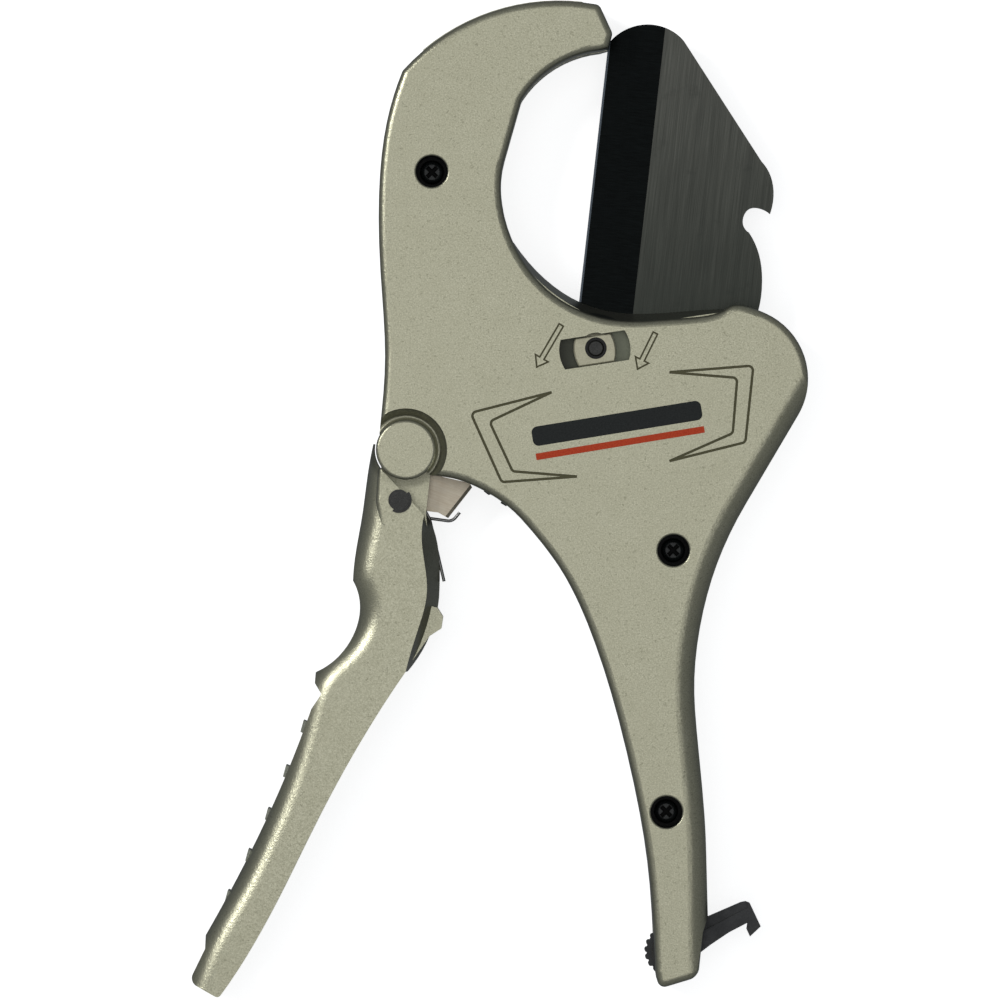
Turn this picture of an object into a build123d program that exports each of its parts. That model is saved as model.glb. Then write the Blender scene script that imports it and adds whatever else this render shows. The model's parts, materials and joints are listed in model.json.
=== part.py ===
"""A ratchet PVC pipe cutter, lying on its back.

Millimetres. The origin is on the back face, under the blade pivot. +Z points out of the front
face, +Y along the tool towards the jaw, and +X from the lever side to the latch side. Every
hinge in the tool is parallel to Z. The shapes are drawn with the blade open and the lever out.
"""
from build123d import *
import os
from math import cos, sin, radians

# ---- Driving dimensions -------------------------------------------------------------------

BODY_THICK = 26.0
MID = BODY_THICK / 2
WALL = 3.2

BLADE_THICK = 3.0
SLOT_GAP = 0.2                     # clearance on each side of the blade
SLOT_HALF = BLADE_THICK / 2 + SLOT_GAP
BLADE_TOP = MID + BLADE_THICK / 2
TIP_RADIUS = 52.0                  # ratchet tooth tips, about the pivot
TOOTH_PITCH = 6.5                  # degrees
TOOTH_COUNT = 14
TOOTH_DEPTH = 3.4

PIPE_RADIUS = 30.4                 # the throat takes 60 mm pipe
THROAT_CENTRE = (4.5, 54.9)
JAW_CENTRE = (-10.6, 39.4)
JAW_RADIUS = 59.9
RIB_ANGLES = (130.0, 106.0, 83.5)
SHOULDER_CENTRE = (40.1, -8.8)
SHOULDER_RADIUS = 20.6

BLADE_PIVOT = (0.0, 0.0)
LEVER_PIVOT = (-54.3, -29.0)
PAWL_PIVOT = (-56.3, -43.4)
HOLDING_PIVOT = (-3.6, -62.4)
LATCH_PIVOT = (21.1, -172.8)
STOP_PIN = (57.3, -12.9)
CASE_SCREWS = [(-46.9, 50.5), (22.2, -57.8), (20.2, -132.6)]
DOWELS = [(-56.0, 14.0), (26.0, -74.0)]

DISC_RADIUS = 8.6                  # the round cheek over the lever pivot
DISC_ROUND = 1.0
GROOVE_WIDTH = 3.2                 # of the soft groove round it
GROOVE_DEPTH = 2.7
RIB_HEIGHT = 0.5                   # of the rib round the jaw's rim
LEVER_THICK = 24.0
EYE_TOP = MID + 6.7                # outer face of the front lever eye
EYE_BOTTOM = MID + 3.0             # its inner face
EYE_RADIUS = 7.7
WASHER_RADIUS = 8.0
PAWL_THICK = 4.6
PAWL_BOTTOM = MID - 2.7
LATCH_THICK = 6.0
LATCH_GAP = 0.3                    # on each side of the latch, filled by its friction washers
EYE_GAP = 0.3                      # between a lever eye and the body half outside it
RUN_FIT = 0.05                     # radial clearance of a pin that turns in its hole
END_GAP = 0.2                      # between a pin's end and the bottom of its seat

EDGE_ROUND = 2.0
GRIP_ROUND = 6.0
PIVOT_RADIUS = 4.0
NOSE_RADIUS = 2.3
LEVER_PIN_RADIUS = 3.5
PAWL_PIN_RADIUS = 3.0
SMALL_PIN_RADIUS = 1.5
LATCH_PIN_RADIUS = 2.5
LEVER_PIN_LENGTH = 20.0
SMALL_PIN_LENGTH = 13.6
LATCH_PIN_LENGTH = 17.6
DOWEL_LENGTH = 10.0
PAWL_HUB_RADIUS = 3.6
LATCH_HUB_RADIUS = 6.4
SCREW_HEAD_RADIUS = 3.4
SCREW_HEAD_HEIGHT = 2.4
SCREW_BORE = 4.5                   # radius of the deep bore that sinks the head
SCREW_SEAT = MID + 3.6
POCKET_TILT = 8.6
POCKET_FLOOR = BODY_THICK - 4.6
BUTTON_TOP = BODY_THICK - 1.2
BUTTON_PLATE = 1.8
BUTTON_BOTTOM = 20.4               # lower end of the button's sleeve
SPRING_SEAT = 17.2
SLEEVE_RADIUS = 4.4
SCREW_RADIUS = 2.0
WASHER_THICK = 1.1
POCKET_CENTRE = (-0.3, -0.5)
POCKET_LENGTH = 20.4
POCKET_WIDTH = 8.6
BUTTON_LENGTH = 12.0
END_SHIFT = (POCKET_LENGTH - BUTTON_LENGTH) / 2
BENT_FRAMES = [                    # cast lines, two on each side of the markings
    [(-5.4, -36.7), (-26.9, -38.3), (-35.8, -18.5), (-12.6, -12.6)],
    [(-5.4, -36.7), (-23.8, -35.2), (-30.4, -21.0), (-12.6, -12.6)],
    [(21.0, -6.9), (45.0, -5.0), (42.7, -26.9), (21.0, -32.3)],
    [(21.0, -6.9), (40.4, -8.5), (39.1, -24.3), (21.0, -32.3)],
]
CAST_DEPTH = 0.45                  # of these lines and of the arrows
ARROWS = [((-9.9, 6.6), (-16.9, -5.4)), ((17.0, 4.3), (11.9, -6.0))]
EDGE_ALONG = (0.1127, 0.9936)      # direction of the blade's cutting edge
EDGE_NORMAL = (0.9936, -0.1127)
BEVEL_WIDTH = 15.7
FIRST_TOOTH = -8.3                 # degrees from straight down, towards the lever
LEVER_ROUND = 8.0
LEVER_CHANNEL_WALL = 3.6
LEVER_RIBS = [(-83.7, -106.5), (-88.7, -119.3), (-93.9, -131.6), (-99.5, -143.4), (-105.4, -155.2)]
RIB_LENGTH = 12.0
RIB_ALONG = Vector(-0.43, -0.90)   # down the grip
RIB_INWARD = Vector(0.90, -0.43)
BOSS_ROUND = 1.5                   # rims of the low boss round the pawl pin
BOSS_CORNER = 2.5
CLIP_SEAT_RADIUS = 2.5
CLIP_THICK = 0.6
CLIP_RADIUS = 3.7
LATCH_SERRATIONS = 11
LATCH_STEP = 0.9


def polar(centre, radius, angle):
    """The point at this radius and angle, in degrees from +X, about a centre."""
    return (centre[0] + radius * cos(radians(angle)), centre[1] + radius * sin(radians(angle)))


def corners_at(shape, *points):
    """The vertices of a flat shape that lie at these points."""
    return [
        vertex
        for vertex in shape.vertices()
        if any(abs(vertex.X - x) + abs(vertex.Y - y) < 0.1 for x, y in points)
    ]


def top_circles(part, radius):
    """The round edges of this radius that lie in the front face."""
    return [
        edge
        for edge in part.edges().filter_by(GeomType.CIRCLE)
        if abs(edge.radius - radius) < 0.01 and abs(edge.center().Z - BODY_THICK) < 0.01
    ]


def written(part, name):
    """Label a finished piece and write its file."""
    part.label = name
    export_step(part, f"parts/{name}.step")


os.makedirs("parts", exist_ok=True)

JAW_BACK = polar(JAW_CENTRE, JAW_RADIUS, 138.2)
JAW_TOP = polar(JAW_CENTRE, JAW_RADIUS, 78.8)
JAW_NOSE = (4.8, 90.0)
THROAT_START = polar(THROAT_CENTRE, PIPE_RADIUS, 96)
THROAT_END = polar(THROAT_CENTRE, PIPE_RADIUS, 148)
SHOULDER_START = polar(SHOULDER_CENTRE, SHOULDER_RADIUS, 66)
SHOULDER_END = polar(SHOULDER_CENTRE, SHOULDER_RADIUS, -30.5)
LEVER_HEEL = (-116.4, -181.2)
LEVER_TOE = (-107.9, -185.9)
HEEL_RIGHT = (29.3, -179.8)
HEEL_LEFT = (18.0, -183.2)

# ---- Outlines -----------------------------------------------------------------------------

# The body, seen from the front: jaw rim, throat, shoulder, grip, and back up to the jaw.
with BuildSketch() as body_outline:
    with BuildLine():
        ThreePointArc(
            JAW_BACK,
            polar(JAW_CENTRE, JAW_RADIUS, 110),
            JAW_TOP,
        )
        Polyline(JAW_TOP, JAW_NOSE, (3.6, 85.8), THROAT_START)
        ThreePointArc(
            THROAT_START,
            polar(THROAT_CENTRE, PIPE_RADIUS, 122),
            THROAT_END,
        )
        Line(THROAT_END, (-26.1, 54.0))
        Spline(
            [
                (-26.1, 54.0),
                (-26.9, 42.0),
                (-22.0, 27.0),
                (-10.9, 14.4),
                (4.3, 8.3),
                (22.0, 8.4),
                (36.0, 10.6),
                SHOULDER_START,
            ],
            tangents=[(-0.27, -0.96), (0.91, -0.41)],
        )
        ThreePointArc(
            SHOULDER_START,
            polar(SHOULDER_CENTRE, SHOULDER_RADIUS, 18),
            SHOULDER_END,
        )
        Line(SHOULDER_END, (42.9, -44.6))
        Spline(
            [
                (42.9, -44.6),
                (34.7, -61.7),
                (30.0, -78.9),
                (28.2, -96.0),
                (29.4, -114.5),
                (31.0, -132.0),
                (32.1, -162.6),
            ],
            tangents=[(-0.508, -0.861), (0.03, -1)],
        )
        Polyline((32.1, -162.6), (30.6, -167.0), HEEL_RIGHT, HEEL_LEFT, (17.1, -178.3))
        Spline(
            [
                (17.1, -178.3),
                (15.4, -150.9),
                (10.0, -120.0),
                (-0.5, -83.4),
                (-11.0, -61.7),
                (-18.0, -52.6),
                (-25.4, -45.0),
                (-35.5, -39.0),
                (-47.4, -36.3),
            ],
            tangents=[(-0.05, 1), (-1, 0.08)],
        )
        Polyline((-47.4, -36.3), LEVER_PIVOT, (-61.9, -24.6))
        Spline(
            [
                (-61.9, -24.6),
                (-60.3, -4.0),
                (-61.6, 22.0),
                (-61.7, 50.0),
                JAW_BACK,
            ],
            tangents=[(0.1, 1), (0.38, 0.92)],
        )
    make_face()
    fillet(corners_at(body_outline, THROAT_END), 5.0)
    fillet(corners_at(body_outline, JAW_BACK, JAW_TOP, JAW_NOSE, HEEL_LEFT), 2.1)
    fillet(corners_at(body_outline, HEEL_RIGHT), 4.0)

# The moving handle's flanges and outer web: thumb rest, grip, end, belly, and the horn by the disc.
with BuildSketch() as lever_outline:
    with BuildLine():
        Spline([(-63.7, -27.4), (-65.3, -36.0), (-66.9, -48.0), (-68.8, -59.0), (-69.5, -66.5)])
        Spline([(-69.5, -66.5), (-67.5, -73.5), (-69.0, -81.2), (-80.2, -92.8)])
        Polyline((-80.2, -92.8), (-80.4, -95.8), (-78.5, -98.9), (-81.4, -103.2))
        Spline([(-81.4, -103.2), (-88.0, -120.5), (-95.4, -137.1), (-103.4, -153.0), (-111.7, -168.0)])
        Polyline((-111.7, -168.0), (-111.8, -171.8), LEVER_HEEL, LEVER_TOE, (-104.9, -181.7))
        Spline(
            [(-104.9, -181.7), (-92.6, -161.1), (-78.9, -133.7), (-66.3, -111.0), (-54.4, -92.6)],
        )
        Spline([(-54.4, -92.6), (-50.9, -80.6), (-48.3, -69.7), (-49.7, -56.0), (-49.1, -47.7)])
        Polyline((-49.1, -47.7), (-61.4, -34.6), (-61.4, -27.4), (-63.7, -27.4))
    make_face()
    fillet(corners_at(lever_outline, LEVER_HEEL), 2.5)
    fillet(corners_at(lever_outline, LEVER_TOE), 1.2)

# The inner arms, under the flanges: eye, lug, belly strip, and the bump that stops the stroke.
with BuildSketch() as lever_arm_outline:
    with BuildLine():
        Polyline((-61.2, -32.4), LEVER_PIVOT, (-47.4, -32.6), (-47.4, -36.3), (-48.6, -47.1))
        Spline([(-48.6, -47.1), (-48.0, -54.0), (-47.2, -63.0), (-47.0, -70.5)])
        Polyline(
            (-47.0, -70.5),
            (-47.0, -73.8),
            (-45.3, -74.3),
            (-43.7, -76.9),
            (-44.2, -80.2),
            (-47.6, -82.4),
            (-54.0, -91.6),
            (-62.0, -92.0),
            (-65.0, -60.0),
            (-61.2, -32.4),
        )
    make_face()
    with Locations(LEVER_PIVOT):
        Circle(EYE_RADIUS)

# The belly's inner wall slopes from a wide foot, beside the arms, to the flange's edge.
with BuildSketch() as belly_foot:
    with BuildLine():
        Spline([(-48.6, -47.1), (-45.8, -54.0), (-44.7, -63.0), (-44.9, -71.5)])
        Spline([(-44.9, -71.5), (-47.6, -82.4), (-53.9, -92.6)])
        Polyline((-53.9, -92.6), (-62.0, -92.0), (-60.0, -50.0), (-48.6, -47.1))
    make_face()
with BuildSketch() as belly_top:
    with BuildLine():
        Spline([(-49.8, -48.9), (-50.1, -56.0), (-49.2, -63.0), (-48.7, -69.7)])
        Spline([(-48.7, -69.7), (-51.3, -80.6), (-54.8, -92.6)])
        Polyline((-54.8, -92.6), (-62.0, -92.0), (-60.0, -50.0), (-49.8, -48.9))
    make_face()

# The floor of the throat slopes out, from just inside the face's edge to a ledge at mid thickness.
with BuildSketch() as throat_top:
    with BuildLine():
        Spline([(-23.8, 30.0), (-15.2, 18.2), (-6.4, 11.9), (3.0, 7.9), (20.0, 7.9), (36.0, 10.2)])
        Polyline((36.0, 10.2), (30.0, 4.0), (0.0, 4.0), (-23.8, 22.0), (-23.8, 30.0))
    make_face()
with BuildSketch() as throat_ledge:
    with BuildLine():
        Spline([(-23.4, 30.6), (-13.5, 19.6), (-4.9, 14.0), (4.3, 11.2), (20.0, 10.7), (36.4, 11.6)])
        Polyline((36.4, 11.6), (30.0, 4.0), (0.0, 4.0), (-23.8, 22.0), (-23.4, 30.6))
    make_face()

# The blade: cutting edge, rounded head, hooked back, and the ratchet sector behind the pivot.
with BuildSketch() as blade_outline:
    with BuildLine():
        Line((-5.6, 5.6), (3.7, 87.6))
        Spline([(3.7, 87.6), (8.6, 91.6), (14.6, 93.1), (20.4, 92.0), (25.4, 88.3)])
        Line((25.4, 88.3), (47.7, 53.7))
        Spline([(47.7, 53.7), (50.4, 49.2), (51.1, 43.5), (50.1, 38.7)])
        Spline([(50.1, 38.7), (47.1, 40.3), (44.3, 40.2), (42.6, 38.2), (44.1, 33.3)])
        Spline([(44.1, 33.3), (47.3, 25.5), (47.8, 18.0), (46.6, 10.5), (39.0, 0.0)])
        Spline([(39.0, 0.0), (22.0, -12.0), (12.0, -27.0), polar(BLADE_PIVOT, TIP_RADIUS, 279)])
        ThreePointArc(
            polar(BLADE_PIVOT, TIP_RADIUS, 279),
            polar(BLADE_PIVOT, TIP_RADIUS, 232),
            polar(BLADE_PIVOT, TIP_RADIUS, 186),
        )
        Polyline(polar(BLADE_PIVOT, TIP_RADIUS, 186), (-10.5, 1.2), (-5.6, 5.6))
    make_face()

# The space between the halves that the blade sweeps. It is open at the throat and the shoulder.
with BuildSketch() as slot_outline:
    with BuildLine():
        Polyline((-33.5, 39.0), (-54.4, 72.0), polar(JAW_CENTRE, JAW_RADIUS - 2.8, 137.5))
        ThreePointArc(
            polar(JAW_CENTRE, JAW_RADIUS - 2.8, 137.5),
            polar(JAW_CENTRE, JAW_RADIUS - 2.8, 112),
            polar(JAW_CENTRE, JAW_RADIUS - 2.8, 78),
        )
        Polyline(
            polar(JAW_CENTRE, JAW_RADIUS - 2.8, 78),
            (70.0, 94.0),
            (70.0, -17.0),
            (44.0, -38.0),
            (0.0, 0.0),
            (-33.5, 39.0),
        )
    make_face()
    Circle(TIP_RADIUS + 1.2)

# The deeper space in which the lever's eyes and the drive pawl swing.
with BuildSketch() as lever_recess:
    with Locations(LEVER_PIVOT):
        Circle(DISC_RADIUS + 0.4)
    Polygon(
        LEVER_PIVOT, (-43.0, -25.0), (-25.0, -36.0), (-21.0, -62.0), (-75.0, -62.0), (-75.0, -29.0),
        align=None,
    )

# The latch's slot, open at the end of the grip.
with BuildSketch() as latch_slot:
    Polygon(
        (45.0, -155.5), (31.0, -161.7), (23.0, -164.9), (0.0, -164.9), (0.0, -190.0), (45.0, -190.0),
        align=None,
    )

# The holding pawl's pocket.
with BuildSketch() as holding_pocket:
    with Locations(HOLDING_PIVOT):
        Circle(PAWL_HUB_RADIUS + 0.8)
    Polygon(
        (-7.6, -60.6), (-2.0, -50.0), (11.5, -50.0), (13.0, -56.5), (9.0, -61.0), (-1.0, -66.0),
        align=None,
    )

# The hollows of the grip, either side of the lower screw.
with BuildSketch() as grip_hollows:
    Polygon((4.0, -82.0), (24.6, -86.0), (25.4, -118.0), (14.2, -122.0), align=None)
    Polygon((18.8, -142.0), (27.6, -142.0), (28.4, -157.0), (20.0, -157.0), align=None)
    fillet(grip_hollows.vertices(), 2.5)

# ---- Body halves --------------------------------------------------------------------------

# What the front half and its mirror image share, above the parting plane.
with BuildPart() as half_blank:
    with BuildSketch(Plane.XY.offset(MID)):
        add(body_outline.sketch)
    extrude(amount=MID)
    fillet(half_blank.faces().sort_by(Axis.Z)[-1].outer_wire().edges(), EDGE_ROUND)
    # the disc with its rounded rim, and the soft groove around it
    with BuildSketch(Plane.XY.offset(MID)):
        with Locations(LEVER_PIVOT):
            Circle(DISC_RADIUS)
    extrude(amount=MID)
    with BuildSketch(Plane((*LEVER_PIVOT, BODY_THICK), x_dir=(1, 0, 0), z_dir=(0, -1, 0))):
        with BuildLine():
            RadiusArc((DISC_RADIUS - DISC_ROUND, 0), (DISC_RADIUS, -DISC_ROUND), DISC_ROUND)
            Line((DISC_RADIUS, -DISC_ROUND), (DISC_RADIUS, -0.8 * GROOVE_DEPTH))
            Spline(
                [
                    (DISC_RADIUS, -0.8 * GROOVE_DEPTH),
                    (DISC_RADIUS + 0.3 * GROOVE_WIDTH, -GROOVE_DEPTH),
                    (DISC_RADIUS + 0.7 * GROOVE_WIDTH, -0.6 * GROOVE_DEPTH),
                    (DISC_RADIUS + GROOVE_WIDTH, 0),
                ]
            )
            Polyline(
                (DISC_RADIUS + GROOVE_WIDTH, 0),
                (DISC_RADIUS + GROOVE_WIDTH, 1),
                (DISC_RADIUS - DISC_ROUND, 1),
                (DISC_RADIUS - DISC_ROUND, 0),
            )
        make_face()
    revolve(axis=Axis((*LEVER_PIVOT, 0), (0, 0, 1)), mode=Mode.SUBTRACT)
    # the sloping floor of the throat
    with BuildSketch(Plane.XY.offset(MID)):
        add(throat_ledge.sketch)
    with BuildSketch(Plane.XY.offset(BODY_THICK - EDGE_ROUND)):
        add(throat_top.sketch)
    loft(ruled=True)
    # the low rib round the jaw's rim
    with BuildSketch(Plane.XY.offset(MID)):
        with BuildLine():
            ThreePointArc(*(polar(JAW_CENTRE, JAW_RADIUS + RIB_HEIGHT, a) for a in RIB_ANGLES))
            Polyline(
                polar(JAW_CENTRE, JAW_RADIUS + RIB_HEIGHT, RIB_ANGLES[2]),
                polar(JAW_CENTRE, JAW_RADIUS - 1.0, RIB_ANGLES[2] - 1),
            )
            ThreePointArc(
                polar(JAW_CENTRE, JAW_RADIUS - 1.0, RIB_ANGLES[2] - 1),
                polar(JAW_CENTRE, JAW_RADIUS - 1.0, RIB_ANGLES[1]),
                polar(JAW_CENTRE, JAW_RADIUS - 1.0, RIB_ANGLES[0] + 1),
            )
            Polyline(
                polar(JAW_CENTRE, JAW_RADIUS - 1.0, RIB_ANGLES[0] + 1),
                polar(JAW_CENTRE, JAW_RADIUS + RIB_HEIGHT, RIB_ANGLES[0]),
            )
        make_face()
    extrude(amount=5.0)
    # the blade's slot, the lever's recess, the latch's slot and the pocket of the holding pawl
    with BuildSketch(Plane.XY.offset(MID)):
        add(slot_outline.sketch)
        add(holding_pocket.sketch)
    extrude(amount=SLOT_HALF, mode=Mode.SUBTRACT)
    with BuildSketch(Plane.XY.offset(MID)):
        add(lever_recess.sketch)
    extrude(amount=EYE_TOP - MID + EYE_GAP, mode=Mode.SUBTRACT)
    with BuildSketch(Plane.XY.offset(MID)):
        add(latch_slot.sketch)
    extrude(amount=LATCH_THICK / 2 + LATCH_GAP, mode=Mode.SUBTRACT)
    with BuildSketch(Plane.XY.offset(MID)):
        add(grip_hollows.sketch)
    extrude(amount=MID - WALL, mode=Mode.SUBTRACT)
    # counterbores for the thrust washer and the holding pawl's spring, and blind seats for the pins
    for place, radius, depth in [
        (BLADE_PIVOT, WASHER_RADIUS + 0.3, SLOT_HALF + WASHER_THICK + 0.1),
        (HOLDING_PIVOT, PAWL_HUB_RADIUS + 0.8, SLOT_HALF + 2.4),
        (LEVER_PIVOT, LEVER_PIN_RADIUS, LEVER_PIN_LENGTH / 2 + END_GAP),
        (HOLDING_PIVOT, SMALL_PIN_RADIUS, SMALL_PIN_LENGTH / 2 + END_GAP),
        (STOP_PIN, SMALL_PIN_RADIUS, SMALL_PIN_LENGTH / 2 + END_GAP),
        (LATCH_PIVOT, LATCH_PIN_RADIUS, LATCH_PIN_LENGTH / 2 + END_GAP),
        (DOWELS[0], SMALL_PIN_RADIUS, DOWEL_LENGTH / 2 + END_GAP),
        (DOWELS[1], SMALL_PIN_RADIUS, DOWEL_LENGTH / 2 + END_GAP),
    ]:
        with BuildSketch(Plane.XY.offset(MID)):
            with Locations(place):
                Circle(radius)
        extrude(amount=depth, mode=Mode.SUBTRACT)

# The solid that the body halves are cut to, because the grip's outer edge is rounded much more
# than the head's.
with BuildPart() as grip_envelope:
    with BuildSketch():
        with BuildLine():
            Polyline((33.0, -200.0), (-120.0, -200.0), (-120.0, 120.0), (140.0, 120.0))
            Line((140.0, 120.0), (43.3, -44.8))
            Spline(
                [
                    (43.3, -44.8),
                    (35.1, -61.9),
                    (30.4, -79.0),
                    (28.6, -96.0),
                    (29.8, -114.5),
                    (31.4, -132.0),
                    (33.0, -200.0),
                ],
                tangents=[(-0.506, -0.862), (0.03, -1)],
            )
        make_face()
    extrude(amount=BODY_THICK)
    fillet(
        grip_envelope.faces().sort_by(Axis.Z)[-1].edges().sort_by(Axis.X)[-2:], GRIP_ROUND
    )

# ---- Springs ------------------------------------------------------------------------------


def wound_wire(place, wire, turns, radius, low, rise, start_angle, lefthand, arm_in, arm_out):
    """A helical spring. Each arm is a list of (length, bend radius, bend angle) steps, all level."""
    with BuildPart() as spring:
        with BuildLine() as path:
            winding = Helix(rise / turns, rise, radius, lefthand=lefthand)
            for end, heading, steps in (
                (winding @ 0, winding % 0 * -1, arm_in),
                (winding @ 1, winding % 1, arm_out),
            ):
                point = end
                heading = Vector(heading.X, heading.Y, 0).normalized()
                for length, bend, angle in steps:
                    point = Line(point, point + heading * length) @ 1
                    if bend:
                        curve = JernArc(point, heading, bend, angle)
                        point = curve @ 1
                        heading = curve % 1
        whole = path.wires()[0]
        with BuildSketch(Plane(whole @ 0, z_dir=whole % 0)):
            Circle(wire)
        sweep(path=whole, is_frenet=True)
    return Location((place[0], place[1], low), (0, 0, start_angle)) * spring.part


# ---- Body halves, finished ----------------------------------------------------------------

with BuildPart() as front_body_half:
    add(half_blank.part)
    add(grip_envelope.part, mode=Mode.INTERSECT)
    # deep bores, with softened mouths, and clearance holes for the three case screws
    with BuildSketch(Plane.XY.offset(SCREW_SEAT)):
        with Locations(CASE_SCREWS):
            Circle(SCREW_BORE)
    extrude(amount=BODY_THICK, mode=Mode.SUBTRACT)
    fillet(top_circles(front_body_half, SCREW_BORE), 0.6)
    with BuildSketch(Plane.XY.offset(MID)):
        with Locations(CASE_SCREWS):
            Circle(SCREW_RADIUS + 0.2)
    extrude(amount=BODY_THICK, mode=Mode.SUBTRACT)
    # the pocket of the release button, and the bore under it
    with BuildSketch(Plane.XY.offset(POCKET_FLOOR)):
        with Locations(POCKET_CENTRE):
            Rectangle(POCKET_LENGTH, POCKET_WIDTH, rotation=POCKET_TILT)
            Circle(POCKET_LENGTH / 2, mode=Mode.INTERSECT)
    extrude(amount=BODY_THICK, mode=Mode.SUBTRACT)
    with BuildSketch(Plane.XY.offset(SPRING_SEAT)):
        Circle(SLEEVE_RADIUS + RUN_FIT)
    extrude(amount=BODY_THICK, mode=Mode.SUBTRACT)
    with BuildSketch(Plane.XY.offset(MID)):
        Circle(PIVOT_RADIUS)
    extrude(amount=SPRING_SEAT - MID, mode=Mode.SUBTRACT)
    # shallow cast lines: a bent frame on each side and two plain arrows
    with BuildSketch(Plane.XY.offset(BODY_THICK - CAST_DEPTH)):
        for frame_line in BENT_FRAMES:
            with BuildLine():
                FilletPolyline(*frame_line, radius=1.3)
            trace(line_width=0.75)
        for start, end in ARROWS:
            along = (Vector(*end) - Vector(*start)).normalized()
            across = Vector(-along.Y, along.X) * 0.7
            neck = Vector(*end) - along * 2.9
            with BuildLine():
                Polyline(
                    neck + across,
                    Vector(*start) + across,
                    Vector(*start) - across,
                    neck - across,
                    neck - across * 3,
                    Vector(*end),
                    neck + across * 3,
                    close=True,
                )
            trace(line_width=0.5)
    extrude(amount=1.0, mode=Mode.SUBTRACT)
written(front_body_half.part, "front_body_half")

with BuildPart() as rear_body_half:
    mirror(half_blank.part, about=Plane.XY.offset(MID))
    mirror(grip_envelope.part, about=Plane.XY.offset(MID), mode=Mode.INTERSECT)
    # the bore of the pivot pin and the tapped holes of the case screws, all blind
    with BuildSketch(Plane.XY.offset(WALL)):
        Circle(PIVOT_RADIUS)
        with Locations(CASE_SCREWS):
            Circle(SCREW_RADIUS)
    extrude(amount=MID, mode=Mode.SUBTRACT)
written(rear_body_half.part, "rear_body_half")

# Three cross-recessed pan head screws, from the front half into the rear half.
with BuildPart() as case_screws:
    with Locations([(x, y, WALL + 0.6) for x, y in CASE_SCREWS]):
        Cylinder(
            SCREW_RADIUS,
            SCREW_SEAT - WALL - 0.6,
            align=(Align.CENTER, Align.CENTER, Align.MIN),
        )
    with BuildSketch(Plane.XY.offset(SCREW_SEAT)):
        with Locations(CASE_SCREWS):
            Circle(SCREW_HEAD_RADIUS)
    extrude(amount=SCREW_HEAD_HEIGHT)
    fillet(case_screws.edges().filter_by(GeomType.CIRCLE).group_by(Axis.Z)[-1], 1.5)
    with BuildSketch(Plane.XY.offset(SCREW_SEAT + 0.6)):
        with Locations(CASE_SCREWS):
            Rectangle(3.6, 0.9, rotation=45)
            Rectangle(0.9, 3.6, rotation=45)
    extrude(amount=SCREW_HEAD_HEIGHT, taper=-6, mode=Mode.SUBTRACT)
written(case_screws.part, "case_screws")

with BuildPart() as locating_dowels:
    with Locations([(x, y, MID) for x, y in DOWELS]):
        Cylinder(SMALL_PIN_RADIUS, DOWEL_LENGTH)
    chamfer(locating_dowels.edges().filter_by(GeomType.CIRCLE), 0.3)
written(locating_dowels.part, "locating_dowels")

# ---- Blade and its pivot ------------------------------------------------------------------

with BuildPart() as cutting_blade:
    with BuildSketch(Plane.XY.offset(MID - BLADE_THICK / 2)):
        add(blade_outline.sketch)
        Circle(PIVOT_RADIUS + RUN_FIT, mode=Mode.SUBTRACT)
        # one notch between each two ratchet teeth, steep on the pawls' side
        for tooth in range(TOOTH_COUNT):
            tip = FIRST_TOOTH + tooth * TOOTH_PITCH
            with BuildLine():
                Polyline(
                    polar(BLADE_PIVOT, TIP_RADIUS + 1.0, 270 - tip - 0.8),
                    polar(BLADE_PIVOT, TIP_RADIUS - TOOTH_DEPTH, 270 - tip - 1.3),
                    polar(BLADE_PIVOT, TIP_RADIUS - TOOTH_DEPTH, 270 - tip - 2.2),
                    polar(BLADE_PIVOT, TIP_RADIUS + 1.0, 270 - tip - TOOTH_PITCH + 0.2),
                    close=True,
                )
            make_face(mode=Mode.SUBTRACT)
    extrude(amount=BLADE_THICK)
    # the ground bevels, one on each face, that leave the cutting edge in the middle
    with BuildSketch(Plane((-5.17, 9.0, MID), x_dir=EDGE_NORMAL, z_dir=EDGE_ALONG)):
        Polygon((-2, 0.0), (BEVEL_WIDTH, BLADE_THICK / 2), (BEVEL_WIDTH, 3), (-2, 3), align=None)
        Polygon((-2, 0.0), (BEVEL_WIDTH, -BLADE_THICK / 2), (BEVEL_WIDTH, -3), (-2, -3), align=None)
    extrude(amount=100, mode=Mode.SUBTRACT)
written(cutting_blade.part, "cutting_blade")

with BuildPart() as blade_pivot_pin:
    with BuildSketch(Plane.XY.offset(WALL)):
        Circle(PIVOT_RADIUS)
    extrude(amount=SPRING_SEAT - WALL)
    with BuildSketch(Plane.XY.offset(SPRING_SEAT)):
        Circle(NOSE_RADIUS)
    extrude(amount=BUTTON_TOP - SPRING_SEAT - 0.3)
    chamfer(blade_pivot_pin.edges().filter_by(GeomType.CIRCLE).group_by(Axis.Z)[-1], 0.4)
written(blade_pivot_pin.part, "blade_pivot_pin")

# Two thrust washers, one on each side of the blade, in counterbores of the halves.
with BuildPart() as blade_thrust_washers:
    for level in (BLADE_TOP + 0.05, 2 * MID - BLADE_TOP - 0.05 - WASHER_THICK):
        with BuildSketch(Plane.XY.offset(level)):
            Circle(WASHER_RADIUS)
            Circle(PIVOT_RADIUS, mode=Mode.SUBTRACT)
        extrude(amount=WASHER_THICK)
written(blade_thrust_washers.part, "blade_thrust_washers")

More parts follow.
